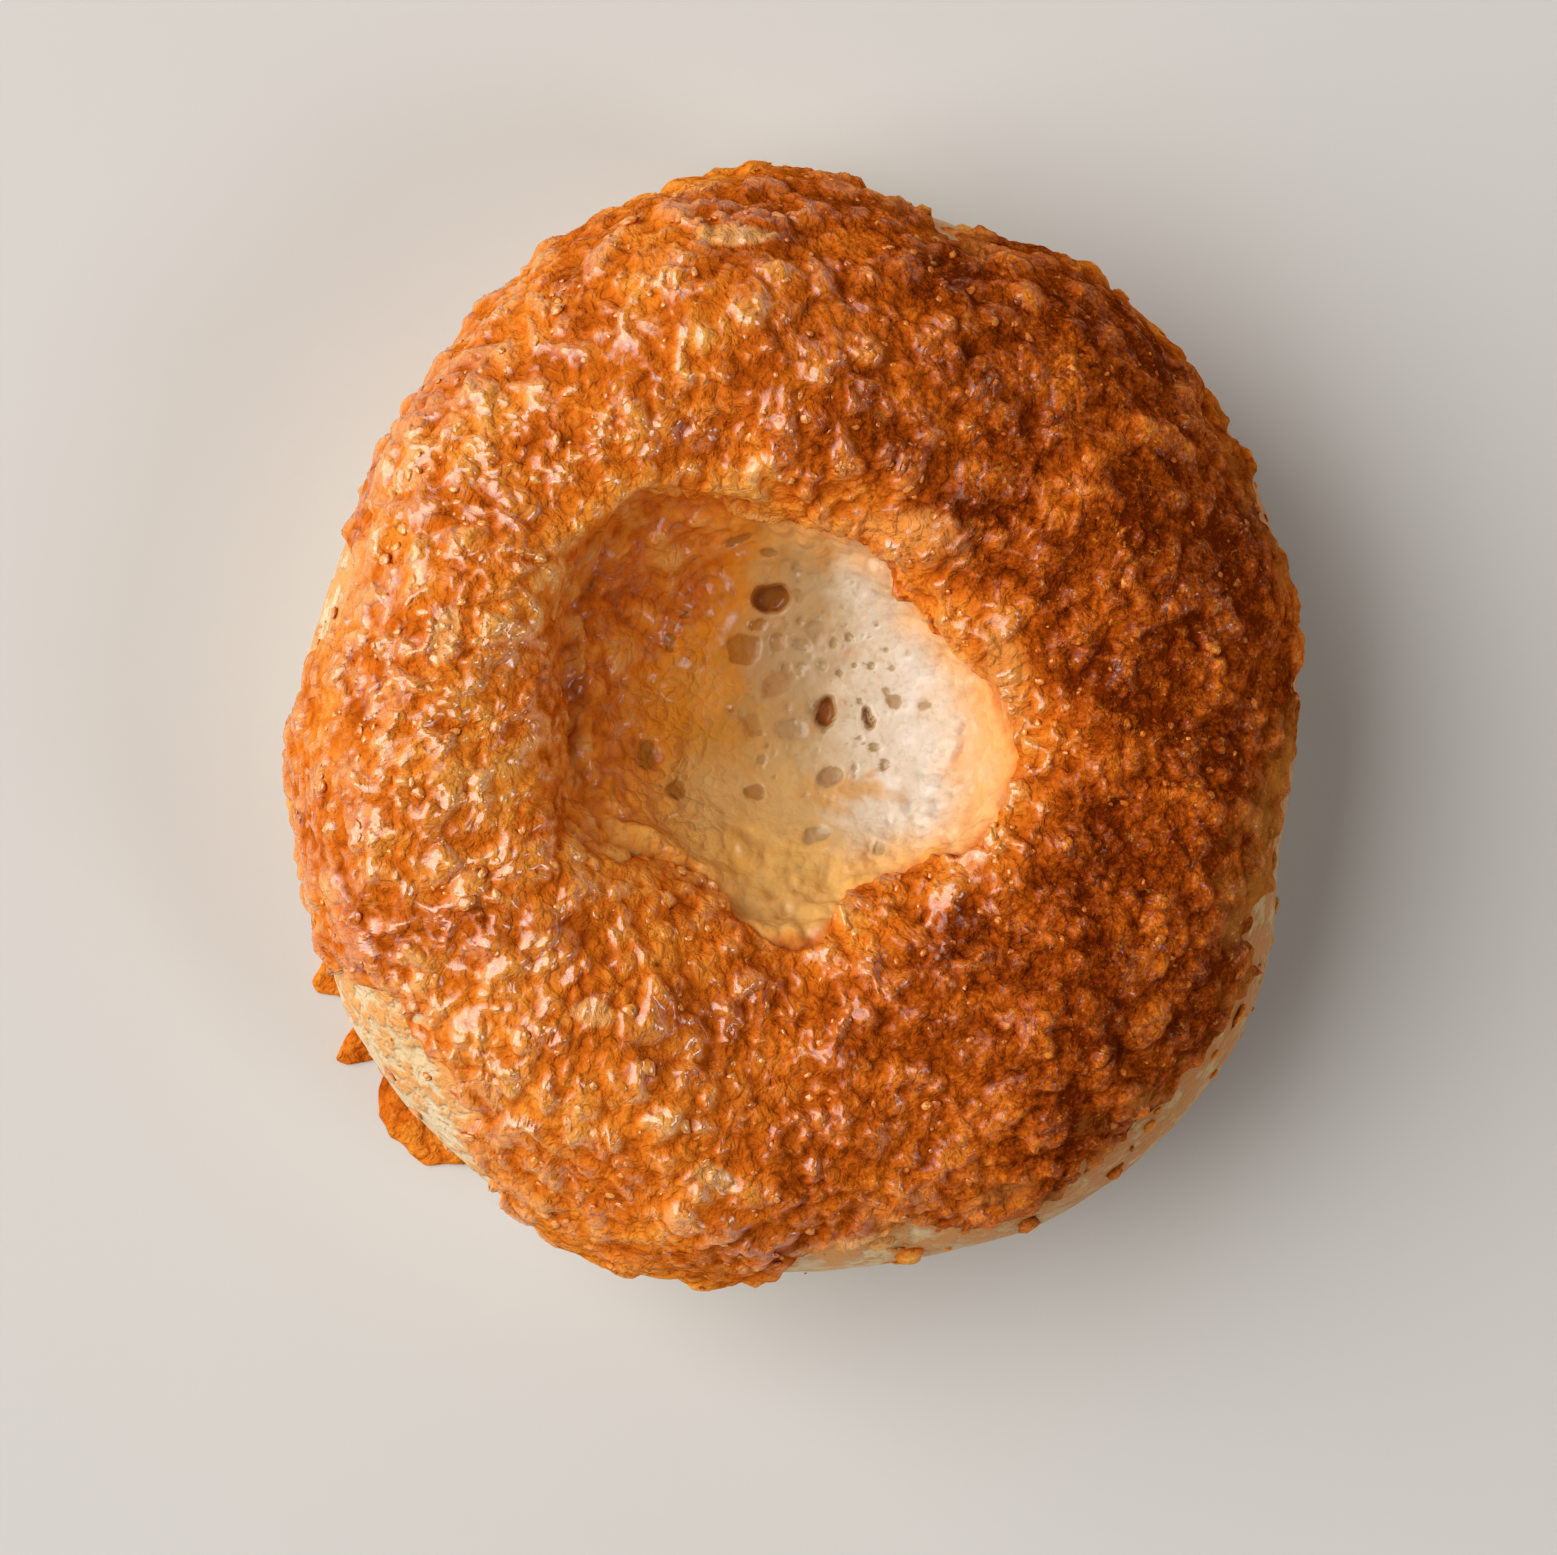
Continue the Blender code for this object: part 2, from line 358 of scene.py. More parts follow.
def dough_finish(nodes):
    """Pale golden skin, browner low down and towards the right, stained gold and orange near the cheese, with
    the fine leathery wrinkles that boiling leaves."""
    across, height = nodes.axes("XZ")
    below = nodes.mark("below")
    blotch, fine = nodes.noise(0.010, 3), nodes.noise(0.0014, 3, 0.6)
    leathery = nodes.noise(0.0011, 3, 0.65, nodes.warped(0.0040, 0.0015, (1.0, 1.0, 1.6)))
    darkness = below.step(0.5, 2.0) * 0.25 + across.step(-0.02, 0.045) * 0.42 + blotch * 0.5 + fine * 0.3
    darkness = darkness + height.step(0.006, 0.0) * 0.25 - 0.05
    colour = darkness.ramp(
        (0.22, (0.86, 0.66, 0.40)),
        (0.50, (0.74, 0.50, 0.24)),
        (0.72, (0.58, 0.36, 0.14)),
        (1.00, (0.42, 0.18, 0.045)),
    )
    stain = nodes.noise(0.0036, 3, 0.6) * 1.1 + nodes.noise(0.0014, 2) * 0.4 - below * 0.42
    stain = (stain + across.step(-0.02, 0.03) * 0.06).step(0.58, 0.80)
    colour = (stain * 0.9).mix(colour, across.step(-0.02, 0.04).mix((0.84, 0.34, 0.065), (0.52, 0.18, 0.025)))
    normal = nodes.bump(leathery * 0.55 + stain * 0.40)
    return {"Base Color": colour, "Normal": normal, "Roughness": 0.55 - blotch * 0.2}


dough.data.materials.append(
    paint(
        "boiled dough skin",
        dough_finish,
        Specular_IOR_Level=0.25,
        Subsurface_Weight=0.25,
        Subsurface_Radius=(1.0, 0.55, 0.25),
        Subsurface_Scale=0.0012,
    )
)
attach(dough, "root")
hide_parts("bagel")

# ----------------------------------------------------------------------------------------------------------
# Web in the dimple. As the dough rose it closed the ring's hole with a thin web, which tore open into pores
# as it baked. It is pale and moist, and golden where melted cheese ran down over it.
# ----------------------------------------------------------------------------------------------------------
WEB_CELLS = 300
WEB_DEPTH = 6.0 * mm
WEB_FIRST, WEB_LAST, WEB_MIDDLE = 3.15, 4.985, 4.999
# The web's rim dips this many millimetres, to run in under the cheese.
WEB_TUCK = 1.4
# Melted cheese fills the corner at the foot of the hollow's wall: its station, and how far it spreads.
FOOT_STATION, FOOT_SPREAD = 4.24, 0.17
# Half the width of a melted shred, in cells, and how many times as long as it is wide.
SHRED_HALF_WIDTH, SHRED_SLIMNESS = 0.42, 1.8
# The mouth that the cheese leaves open over the dimple, as a radius from the lip's centre.
MOUTH_RADIUS = 22.6 * mm
MOUTH_WAVES = ((2, 0.10, -33), (3, 0.048, -5), (5, 0.063, -11), (6, 0.025, -23), (7, 0.024, 11))
# Each pore is (across, along, width, length, degrees turned, depth), in millimetres from the web's middle.
PORES = (
    (-4.0, 11.2, 3.9, 3.0, 8, 2.4),
    (1.7, -0.7, 2.2, 3.5, -12, 2.0),
    (6.2, -1.3, 1.2, 2.6, 18, 1.4),
    (8.8, 0.4, 1.6, 1.7, 0, 1.0),
    (-6.9, 5.8, 3.6, 3.4, 0, 0.9),
    (2.2, -7.5, 2.8, 1.9, 25, 1.1),
    (0.6, -13.8, 2.9, 1.8, 10, 0.7),
    (-5.8, -9.1, 2.2, 1.9, 0, 0.7),
    (-14.1, -9.1, 2.6, 2.3, 30, 0.5),
    (6.8, -4.3, 1.3, 1.2, 0, 0.8),
    (7.9, -6.3, 0.9, 1.4, -20, 0.9),
    (-4.4, 16.1, 2.2, 1.1, -5, 0.7),
    (-7.5, 17.6, 3.2, 1.2, 15, 0.6),
    (-1.3, 14.4, 1.2, 1.4, 20, 0.8),
    (-13.3, 9.6, 1.0, 0.9, 0, 0.8),
    (-14.7, 6.6, 1.2, 2.2, 10, 0.7),
    (-17.2, -5.4, 2.0, 3.2, 0, 0.7),
    (-1.0, 6.3, 1.7, 1.2, -15, 0.8),
    (0.6, 7.8, 2.1, 2.6, 40, 0.5),
    (-3.4, 6.6, 1.5, 2.0, 10, 0.6),
    (-0.9, 4.3, 1.2, 1.0, 0, 0.7),
    (12.1, -0.1, 1.8, 1.2, 0, 0.5),
    (7.5, -15.3, 1.4, 1.6, -30, 0.7),
    (-3.6, 2.2, 3.2, 2.6, 20, 0.5),
    (-2.0, -2.6, 3.8, 2.4, -15, 0.5),
    (-6.0, -2.0, 2.2, 3.0, 15, 0.4),
)


def shred_lumps(points, size, seeds):
    """Melted shreds puffed into pillows: in every cell an oval cap lies its own way, and the caps of all
    cells and seeds are joined by the fourth root of their summed fourth powers, which keeps the creases."""
    scaled = points / size
    cell = np.floor(scaled)
    total = 0
    for seed in seeds:
        for corner in np.ndindex(3, 3, 3):
            there = cell + np.array(corner) - 1
            draw = [lattice(there, seed * 7 + number) for number in range(6)]
            apart = scaled - there - np.stack(draw[:3], -1)
            lie = np.stack((np.cos(draw[3] * np.pi), np.sin(draw[3] * np.pi), draw[4] - 0.5), -1)
            lie = lie / np.linalg.norm(lie, axis=-1, keepdims=True)
            squared = np.sum(apart**2, -1) - (1 - 1 / SHRED_SLIMNESS**2) * np.sum(apart * lie, -1) ** 2
            cap = np.maximum(1 - squared / SHRED_HALF_WIDTH**2, 0) ** 0.8
            total = total + ((0.45 + 0.55 * draw[5]) * cap) ** 4
    return total**0.25


def outside_mouth(points):
    """Distance outwards from the edge of the cheese's mouth, across the bagel."""
    from_lip = (points - RING_CENTRE)[..., :2] - LIP_SHIFT
    turned = np.arctan2(from_lip[..., 1], from_lip[..., 0])
    return np.linalg.norm(from_lip, axis=-1) - MOUTH_RADIUS * (1 + waves(turned, MOUTH_WAVES))


def pebbles(points, size, seed):
    """Distance in cells to the nearest of one random point per cell, and that point's own random number."""
    scaled = points / size
    cell = np.floor(scaled)
    nearest, tag = (np.full(points.shape[:-1], start) for start in (9.0, 0.0))
    for corner in np.ndindex(3, 3, 3):
        there = cell + np.array(corner) - 1
        point = there + np.stack([lattice(there, seed * 5 + axis) for axis in range(3)], -1)
        distance = np.linalg.norm(scaled - point, axis=-1)
        closer = distance < nearest
        tag = np.where(closer, lattice(there, seed * 5 + 3), tag)
        nearest = np.where(closer, distance, nearest)
    return nearest, tag


def pore_depths(across, along):
    """Depth of PORES in millimetres: each sinks smoothly inside a slightly squared oval."""
    depth = 0 * across
    for middle_x, middle_y, width, length, turned, deep in PORES:
        cos, sin = np.cos(np.radians(turned)), np.sin(np.radians(turned))
        x, y = across - middle_x, along - middle_y
        u, v = (x * cos + y * sin) / (width / 2), (y * cos - x * sin) / (length / 2)
        reach = (np.abs(u) ** 2.4 + np.abs(v) ** 2.4) ** (1 / 2.4)
        depth = np.maximum(depth, deep * smooth((1.2 - reach) / 0.55))
    return depth


side = np.linspace(-1, 1, WEB_CELLS + 1)
u, v = np.meshgrid(side, side)
# An even square becomes a disc when each of its square rings becomes a circle of the same size.
spread, theta = np.maximum(np.abs(u), np.abs(v)), np.arctan2(v, u)
station = along_profile(WEB_FIRST, WEB_LAST, 1 - spread)
station = np.where(spread < 1e-6, WEB_MIDDLE, station)
web = dough_skin(theta, station)
middle = np.append(RING_CENTRE[:2] + FLOOR_SHIFT, FLOOR_HEIGHT + RING_CENTRE[2])
across, along = (web[..., 0] - middle[0]) / mm, (web[..., 1] - middle[1]) / mm
across_warped = across + 0.30 * ripple(web, 1.6 * mm, 21)
along_warped = along + 0.30 * ripple(web, 1.6 * mm, 22)
deep = pore_depths(across_warped, along_warped)
# Small pores gather right of the middle, where the web stretched most.
gather = smooth(1.35 - np.hypot(across / 11.0, (along - 3.0) / 14.0))
near, tag = pebbles(web * (1, 1, 0.3), 1.7 * mm, 23)
small_pores = smooth((0.36 * tag - near + 0.08) / 0.16) * (tag > 0.25) * 0.75
near, tag = pebbles(web * (1, 1, 0.3), 0.8 * mm, 24)
tiny_pores = smooth((0.32 - near) / 0.16) * (tag > 0.55) * 0.4
deep = np.maximum(deep, np.maximum(small_pores, tiny_pores) * gather)
# A shallow pore is a soft dent, and a deep one drops steeply.
sunken = np.where(deep < 1, 0.45 * deep, deep - 0.55)
# The melted cheese is thickest at the foot of the left wall, and lies in soft lumps all round the rim.
leftward = smooth((-across - 4) / 14)
fillet = np.exp(-(((station - FOOT_STATION) / FOOT_SPREAD) ** 2)) * (0.5 + 1.6 * leftward)
from_edge = -outside_mouth(web) / mm
from_rim = smooth((np.hypot(across, along * 0.92) - 8.5) / 9)
lobes = shred_lumps(web, 4.4 * mm, (81, 82)) * 0.80 + shred_lumps(web, 2.1 * mm, (83, 84)) * 0.40
undulation = ripples(web, (0.45, 9, 25), (0.22, 4, 26), (0.07, 1.8, 27))
under_coat = smooth((0.5 - from_edge) / 2.5)
raised = (undulation + fillet + lobes * from_rim) * (1 - under_coat) - WEB_TUCK * under_coat
web = web + outward(theta, np.minimum(station, 4.9)) * (raised * mm)[..., None]
web[..., 2] -= sunken * mm
# The web has thickness: a wall drops from its border, and a fan of triangles closes it below.
corners = np.arange(u.size).reshape(u.shape)
faces = np.stack((corners[:-1, :-1], corners[:-1, 1:], corners[1:, 1:], corners[1:, :-1]), -1)
border = np.concatenate((corners[0, :-1], corners[:-1, -1], corners[-1, :0:-1], corners[:0:-1, 0]))
dropped = web.reshape(-1, 3)[border] * (1, 1, 0) + (0, 0, middle[2] - WEB_DEPTH)
lower = u.size + np.arange(border.size)
wall = np.stack((border, np.roll(border, -1), np.roll(lower, -1), lower), -1)[:, ::-1]
fan = np.stack((np.roll(lower, -1), lower, np.full(border.size, u.size + border.size)), -1)


def with_underside(values):
    """The numbers of the web's upper side, and zero for its wall and underside."""
    return np.concatenate((values.ravel(), np.zeros(border.size + 1)))


dimple_web = mesh_piece(
    "dimple_web",
    np.concatenate((web.reshape(-1, 3), dropped, middle[None] - (0, 0, WEB_DEPTH))),
    np.concatenate((faces.reshape(-1, 4), wall)),
    [fan],
    pore=with_underside(deep),
    across=with_underside(across),
    along=with_underside(along),
    lobe=with_underside(lobes),
    edge=with_underside(from_edge),
)


def browned(nodes, side, shred):
    """Colour and relief of browned cheese: orange on the tops of the shreds and red-brown in the creases,
    where the darkening is painted shade; darker and grainier where side is high, with small blisters and fine
    wrinkles."""
    crumpled = nodes.warped(0.0030, 0.0012)
    blister = nodes.cells(0.0011, crumpled)
    wrinkle = nodes.noise(0.00040, 2, 0.5, crumpled)
    blotch, fine = nodes.noise(0.0085, 2), nodes.noise(0.0014, 3, 0.6, crumpled)
    grain = (nodes.noise(0.00045, 2, 0.6) - 0.5) * (side * 0.5 + 0.15)
    darkness = side * 0.38 + blotch * 0.72 + fine * 0.16 + grain + nodes.mark("tone") * (side * 0.10 + 0.05)
    # Lower on the shreds and towards the blisters' edges the colour darkens: painted shade in the creases.
    darkness = darkness + shred * -0.56 + blister * 0.18 + 0.045
    colour = darkness.ramp(
        (0.10, (0.94, 0.41, 0.080)),
        (0.27, (0.90, 0.29, 0.030)),
        (0.48, (0.70, 0.155, 0.010)),
        (0.70, (0.40, 0.068, 0.004)),
        (0.94, (0.15, 0.019, 0.001)),
    )
    return colour, blister, wrinkle


def blob(across, along, middle, radii, soft=0.5):
    """A soft-edged oval, from 1 in its middle to 0 outside."""
    u, v = (across - middle[0]) * (1 / radii[0]), (along - middle[1]) * (1 / radii[1])
    return ((u * u + v * v) ** 0.5).step(1 + soft, 1 - soft)


def blobs(across, along, *ovals):
    """The strongest of several blobs. Each is (its middle, its radii)."""
    first, *others = (blob(across, along, middle, radii, 0.6) for middle, radii in ovals)
    for other in others:
        first = first.math("MAXIMUM", first, other)
    return first


def web_finish(nodes):
    """Moist cream dough on the right, amber and then brown where cheese melted down the left wall, peach on
    the right rim with painted shade in the creases between its lobes, a patch of painted shade in the middle,
    and brown painted shade inside its pores."""
    drift_x, drift_y = (nodes.noise(size, 3, 0.6) - 0.5 for size in (0.0052, 0.0061))
    across = nodes.mark("across") + drift_x * 9.0
    along = nodes.mark("along") + drift_y * 9.0
    upper_left = along.math("MAXIMUM", along, 0.0) * across.step(6.0, -10.0)
    reach = (across - upper_left * 0.62 + along * 0.06 + 30.0) * (1 / 54)
    base = reach.ramp(
        (0.10, (0.78, 0.19, 0.010)),
        (0.25, (0.80, 0.26, 0.018)),
        (0.36, (0.66, 0.26, 0.030)),
        (0.46, (0.56, 0.28, 0.070)),
        (0.54, (0.52, 0.33, 0.14)),
        (0.64, (0.77, 0.63, 0.45)),
        (0.78, (0.77, 0.67, 0.54)),
        (0.88, (0.83, 0.58, 0.34)),
        (0.97, (0.88, 0.34, 0.07)),
    )
    base = (blob(across, along, (-6.0, -11.5), (9.0, 6.5), 0.6) * 0.7).mix(base, (0.72, 0.44, 0.16))
    edge = nodes.mark("edge") + drift_x * 4.0 + drift_y * 3.0
    base = (edge.step(5.0, 0.8) * reach.step(0.30, 0.45) * 0.7).mix(base, (0.92, 0.45, 0.13))
    # Darker orange in the creases between the rim's lobes: painted shade.
    lobe_crease_shade = nodes.mark("lobe").step(0.50, 0.15) * reach.step(0.76, 0.88)
    base = (lobe_crease_shade * 0.6).mix(base, (0.86, 0.38, 0.10))
    bottom = (along * -1.0 + across * -0.10).step(11.0, 19.0)
    base = (bottom * 0.8).mix(base, (0.84, 0.42, 0.085))
    tongue = blob(across, along, (-1.5, -20.5), (5.5, 7.0))
    base = (tongue * 0.8).mix(base, (0.80, 0.47, 0.14))
    base = (blob(across, along, (4.0, -9.0), (4.6, 1.3)) * 0.7).mix(base, (0.72, 0.34, 0.07))
    base = (blob(across, along, (-12.0, 1.5), (3.2, 1.6)) * 0.5).mix(base, (0.85, 0.36, 0.07))
    # A darker beige patch in the web's middle: painted shade.
    middle_shade = blob(across, along, (-2.0, 5.5), (4.6, 7.5), 0.6)
    base = (middle_shade * 0.65).mix(base, (0.50, 0.33, 0.17))
    toasted = blob(across, along, (-14.0, 14.0), (5.0, 4.6), 0.45)
    toasted = toasted.math("MAXIMUM", toasted, blob(across, along, (-22.5, 4.0), (4.5, 11.0), 0.5) * 0.55)
    toasted = toasted.math("MAXIMUM", toasted, blob(across, along, (-17.0, -5.4), (1.3, 1.8), 0.3) * 0.8)
    base = (toasted * 0.85).mix(base, (0.52, 0.10, 0.004))
    freckle = (nodes.noise(0.0021, 2) + (0.5 - reach) * 0.25).step(0.58, 0.70)
    base = (freckle * 0.30).mix(base, (0.70, 0.27, 0.04))
    crust_colour, blister, wrinkle = browned(nodes, reach * 0.2, nodes.mark("lobe"))
    crust = reach.step(0.26, 0.10)
    crust = crust.math("MAXIMUM", crust, edge.step(1.0, -0.4) * 0.9)
    base = (crust * 0.8).mix(base, crust_colour)
    pore = nodes.mark("pore")
    mottle = nodes.noise(0.0011, 3, 0.65)
    base = (mottle.step(0.50, 0.68) * 0.30).mix(base, (0.52, 0.32, 0.14))
    # Inside the pores the colour darkens to brown, most in the deep ones: painted shade, browner on the left
    # where cheese ran in.
    shallow_pore_shade = reach.step(0.36, 0.56).mix((0.42, 0.14, 0.015), (0.46, 0.29, 0.13))
    base = (pore.step(0.08, 0.50) * 0.85).mix(base, shallow_pore_shade)
    base = pore.step(0.8, 1.7).mix(base, (0.33, 0.10, 0.016))
    crusty = nodes.mark("across").step(-6.0, -16.0)
    moist = nodes.noise(0.0016, 2)
    relief = (1.0 - blister) * (crusty * 0.30 + 0.10) + wrinkle * (crusty * 0.20 + 0.02) + moist * 0.32
    normal = nodes.bump(relief)
    wet = nodes.noise(0.0030, 2).step(0.42, 0.58) * reach.step(0.97, 0.85) * 0.9
    return {"Base Color": base, "Normal": normal, "Coat Weight": wet}


dimple_web.data.materials.append(
    paint(
        "moist dough web",
        web_finish,
        Roughness=0.5,
        Subsurface_Weight=0.2,
        Subsurface_Radius=(1.0, 0.6, 0.35),
        Subsurface_Scale=0.0010,
        Specular_IOR_Level=0.0,
        Coat_Roughness=0.25,
    )
)
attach(dimple_web, "root")
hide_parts("bagel")

# ----------------------------------------------------------------------------------------------------------
# Cheese coat. Shredded asiago went on before baking. It melted into one skin over the shreds, bubbled, and
# browned from straw through orange to dark red-brown. It lies thick on the dough, and its edge is ragged.
# ----------------------------------------------------------------------------------------------------------
COAT_COLUMNS, COAT_ROWS, UNDER_ROWS = 880, 206, 8
COAT_THICKNESS, UNDER_DEPTH = 0.7 * mm, 2.5 * mm
# Past its edges the coat runs on this far under the dough's skin, or this many stations.
COAT_TUCK, COAT_OVERLAP = 1.0 * mm, 0.40
# The lowest station that the coat may reach on the flank, and the one where it ends in the hollow.
COAT_LOWEST, COAT_INNER_END = 1.2, 4.25
# The cells in which each kind of lump is scattered.
BUBBLE, LARGE_SHRED, SMALL_SHRED = 4.8 * mm, 2.7 * mm, 1.5 * mm

columns = np.linspace(0, 2 * np.pi, COAT_COLUMNS, endpoint=False)
outer_end = np.maximum(lower_edge(columns) - COAT_OVERLAP, COAT_LOWEST)[None]
inner_end = np.full((1, COAT_COLUMNS), COAT_INNER_END)
theta = np.broadcast_to(columns, (COAT_ROWS, COAT_COLUMNS))
station = along_profile(outer_end, inner_end, np.linspace(0, 1, COAT_ROWS)[:, None])
base = dough_skin(theta, station)
normal = outward(theta, station)
ragged = raggedness(base)
from_lower = station - lower_edge(theta) + ragged
from_inner = np.where(station > 2.9, outside_mouth(base), 12 * mm) + ragged * 9 * mm
# On the left the coat thins out gently over the dimple's wall, and elsewhere it ends in a lip.
gentle = smooth((RING_CENTRE[0] - base[..., 0] - 7 * mm) / (14 * mm))
cover = smooth(from_lower / 0.12 + 0.5) * smooth(from_inner / ((1.2 + 2.6 * gentle) * mm) + 0.5)
warped = base + 0.7 * mm * np.stack([ripple(base, 2.6 * mm, 40 + axis) for axis in range(3)], -1)
large = shred_lumps(warped, LARGE_SHRED, (51, 52))
small = shred_lumps(warped, SMALL_SHRED, (61, 62))
bubbles = shred_lumps(warped, BUBBLE, (58,))
# Where sheets of melted cheese overlap, the coat steps up in ledges.
ledges = 0.35 * smooth(ripple(warped, 10 * mm, 35) / 0.22 + 0.5)
ledges = ledges + 0.25 * smooth(ripple(warped, 6 * mm, 36) / 0.2 + 0.5)
flank = smooth((2.75 - station) / 0.5)
vigour = (0.6 + 0.7 * smooth(ripple(base, 8 * mm, 37) * 1.2 + 0.5)) * (1 - 0.5 * flank)
# The shred mark also darkens the cheese's colour where it is low, between the lumps: painted shade in the
# creases.
shreds = 0.40 * bubbles + 0.36 * large + 0.24 * small
lumpy = vigour * (0.62 * large + 0.40 * small) + (0.9 + 0.2 * flank) * bubbles
lumpy = lumpy + ledges + 0.12 * ripple(warped, 3 * mm, 38)
thin = smooth(1 - from_lower / 0.45)
settled = 1 - 0.5 * gentle * smooth(1 - from_inner / (7 * mm))
rise = cover * (COAT_THICKNESS * (1 - 0.6 * thin) + lumpy * settled * mm) - COAT_TUCK * (1 - cover)
rise[0] = rise[-1] = -COAT_TUCK
coat = base + normal * rise[..., None]
under_station = along_profile(inner_end, outer_end, np.linspace(0.02, 0.98, UNDER_ROWS)[:, None])
under_theta = np.broadcast_to(columns, (UNDER_ROWS, COAT_COLUMNS))
under = dough_skin(under_theta, under_station) - outward(under_theta, under_station) * UNDER_DEPTH
inward = smooth(1 - from_inner / (9 * mm))
around_shell = np.concatenate((coat, under))[::-1]
shell_normals = np.cross(
    np.roll(around_shell, -1, 0) - np.roll(around_shell, 1, 0),
    np.roll(around_shell, -1, 1) - np.roll(around_shell, 1, 1),
)
shell_normals = shell_normals / np.linalg.norm(shell_normals, axis=-1, keepdims=True)
tone = ripple(warped, 2.6 * mm, 39)
shell_marks = {
    mark: np.concatenate((values, np.zeros((UNDER_ROWS, COAT_COLUMNS))))[::-1]
    for mark, values in dict(shred=shreds, inward=inward, thin=thin, tone=tone).items()
}


def closed_run(name, sections, normals=None, **marks):
    """An object from sections that each close on themselves, joined in order, with a cap over each end."""
    count, size = sections.shape[:2]
    first = np.arange(size)
    caps = (first[None, ::-1], first[None] + (count - 1) * size)
    return mesh_piece(name, sections, strips(count, size), caps, normals, **marks)


def half_coat(name, columns):
    """The part of the coat on these columns. The coat is one skin, made as two meshes that share their end
    columns and the normals there, so that neither mesh is too heavy."""
    columns = columns % COAT_COLUMNS
    sections, normals = (values[:, columns].swapaxes(0, 1) for values in (around_shell, shell_normals))
    marks = {mark: values[:, columns].T for mark, values in shell_marks.items()}
    return closed_run(name, sections, normals, **marks)


coat_halves = [
    half_coat("cheese_coat_back", np.arange(COAT_COLUMNS // 2 + 1)),
    half_coat("cheese_coat_front", np.arange(COAT_COLUMNS // 2, COAT_COLUMNS + 1)),
]


def cheese_finish(nodes):
    """Browned cheese, darkest along the right of the crest, golden where it is thin or hardly browned, with
    straw streaks, and fat that shines on the tops of the shreds."""
    across, along, height = nodes.axes("XYZ")
    wander = nodes.noise(0.022, 2) - 0.5
    shred, inward, thin = nodes.mark("shred"), nodes.mark("inward"), nodes.mark("thin")
    side = (across + wander * 0.02).step(-0.022, 0.034) * (1.0 - inward * 0.85) * height.step(0.012, 0.036)
    low = height.step(0.030, 0.014)
    # The inward term lightens the colour a little near the mouth: painted light on the shaded inner slope.
    colour, blister, wrinkle = browned(nodes, side, shred + inward * 0.04 + low * 0.22)
    straw = (nodes.noise(0.0020, 3, 0.6) * 0.7 + nodes.noise(0.009, 1) * 0.5 - side * 0.05).step(0.70, 0.80)
    colour = (straw * (1.0 - side) * 0.4).mix(colour, (0.94, 0.37, 0.075))
    crisp = (nodes.noise(0.0006, 2, 0.6) + shred * 0.25).step(0.66, 0.80) * side
    colour = (crisp * 0.6).mix(colour, (0.70, 0.27, 0.030))
    x, y = (axis + wander * 0.008 for axis in (across, along))
    ragged = nodes.noise(0.0045, 3, 0.6) - 0.5
    hardly_browned = blobs(
        x,
        y,
        ((-0.050, 0.017), (0.008, 0.014)),
        ((0.051, -0.019), (0.007, 0.020)),
        ((0.0125, 0.0190), (0.0080, 0.0034)),
        ((0.0215, 0.0040), (0.0030, 0.0080)),
    )
    golden = thin.math("MAXIMUM", thin * 0.45, hardly_browned * 0.65)
    golden = (golden + ragged * 1.1).step(0.30, 0.80)
    film = across.step(0.000, 0.052).mix((0.95, 0.37, 0.080), (0.58, 0.20, 0.030))
    colour = (golden * 0.75).mix(colour, film)
    unmelted = blobs(
        x,
        y,
        ((0.0096, -0.0530), (0.0046, 0.0018)),
        ((-0.0074, -0.0460), (0.0030, 0.0017)),
        ((-0.0050, 0.0505), (0.0050, 0.0016)),
        ((-0.0200, -0.0297), (0.0026, 0.0016)),
        ((-0.0348, 0.0087), (0.0016, 0.0024)),
    )
    pale = (unmelted + ragged * 0.9).step(0.45, 0.85)
    colour = (pale * 0.55).mix(colour, (0.92, 0.50, 0.16))
    normal = nodes.bump((1.0 - blister) * 0.46 + wrinkle * 0.42)
    left = across.step(-0.012, -0.034) * height.step(0.012, 0.024)
    fatty = left.math("MAXIMUM", height.step(0.026, 0.038), left)
    sparkle = nodes.noise(0.00040, 1).step(0.58, 0.66)
    gloss = (shred + left * 0.08).step(0.16, 0.46) * fatty * (side.step(1.2, 0.1) + sparkle * 0.5)
    return {"Base Color": colour, "Normal": normal, "Roughness": 0.62 - gloss * 0.25, "Coat Weight": gloss}


browned_cheese = paint(
    "browned cheese",
    cheese_finish,
    Specular_IOR_Level=0.0,
    Coat_Roughness=0.22,
    Coat_IOR=1.9,
)
for half in coat_halves:
    half.data.materials.append(browned_cheese)
    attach(half, "root")
    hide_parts("bagel")

# ----------------------------------------------------------------------------------------------------------
# Crisp bits. Small crumbs of cheese lay loose on the coat and fried dry and hard. Each is melted in at its
# foot. They are made as dented balls of a few dozen faces, joined in one mesh.
# ----------------------------------------------------------------------------------------------------------
# A typical bit has this half length in millimetres, and sits this share of its half height into the coat.
BIT_COUNT, BIT_HALF_LENGTH, BIT_SUNK = 700, 0.46, 0.45
BALL_RINGS, BALL_SEGMENTS = 5, 8
